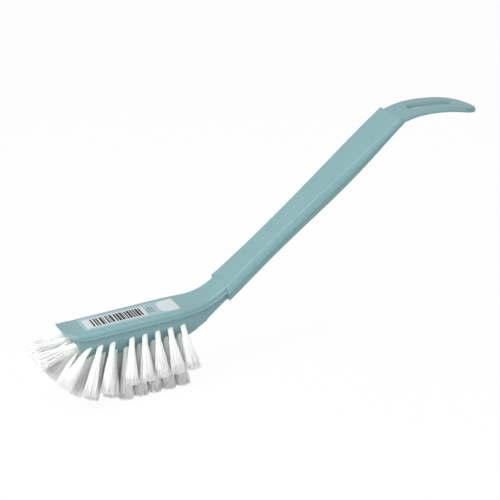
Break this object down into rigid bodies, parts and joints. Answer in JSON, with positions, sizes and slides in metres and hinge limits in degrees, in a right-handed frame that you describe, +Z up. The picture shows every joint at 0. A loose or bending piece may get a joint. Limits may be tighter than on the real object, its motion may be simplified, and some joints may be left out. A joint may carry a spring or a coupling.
{
  "type": "dish brush",
  "caption": "Long-handled dish brush: boat-shaped head with fanned bristle tufts, bent neck, stepped grip and a curved hanger with a hanging slot.",
  "frame": {"origin": "middle of the box's lowest level, under the tips of the longest bristles", "axes": "+X from the head to the hanger, +Y across the head, +Z up from the flat back of the head"},
  "size_m": [0.2878, 0.0372, 0.1345],
  "materials": {
    "body": "satin injection-moulded polypropylene",
    "bristles": "bundles of white nylon filament",
    "anchors": "flat wire",
    "label": "printed film label"
  },
  "bodies": {
    "root": {"brush_body": "body", "label": "label", "tuft_anchors": "anchors", "tuft_left_bow": "bristles", "tuft_left_corner": "bristles", "tuft_left_inner_1": "bristles", "tuft_left_inner_2": "bristles", "tuft_left_inner_3": "bristles", "tuft_left_inner_4": "bristles", "tuft_left_inner_5": "bristles", "tuft_left_inner_6": "bristles", "tuft_left_inner_7": "bristles", "tuft_left_inner_8": "bristles", "tuft_left_outer_1": "bristles", "tuft_left_outer_2": "bristles", "tuft_left_outer_3": "bristles", "tuft_left_outer_4": "bristles", "tuft_left_outer_5": "bristles", "tuft_left_outer_6": "bristles", "tuft_left_outer_7": "bristles", "tuft_left_outer_8": "bristles", "tuft_right_bow": "bristles", "tuft_right_corner": "bristles", "tuft_right_inner_1": "bristles", "tuft_right_inner_2": "bristles", "tuft_right_inner_3": "bristles", "tuft_right_inner_4": "bristles", "tuft_right_inner_5": "bristles", "tuft_right_inner_6": "bristles", "tuft_right_inner_7": "bristles", "tuft_right_inner_8": "bristles", "tuft_right_outer_1": "bristles", "tuft_right_outer_2": "bristles", "tuft_right_outer_3": "bristles", "tuft_right_outer_4": "bristles", "tuft_right_outer_5": "bristles", "tuft_right_outer_6": "bristles", "tuft_right_outer_7": "bristles", "tuft_right_outer_8": "bristles", "tuft_tip": "bristles"}
  },
  "joints": []
}
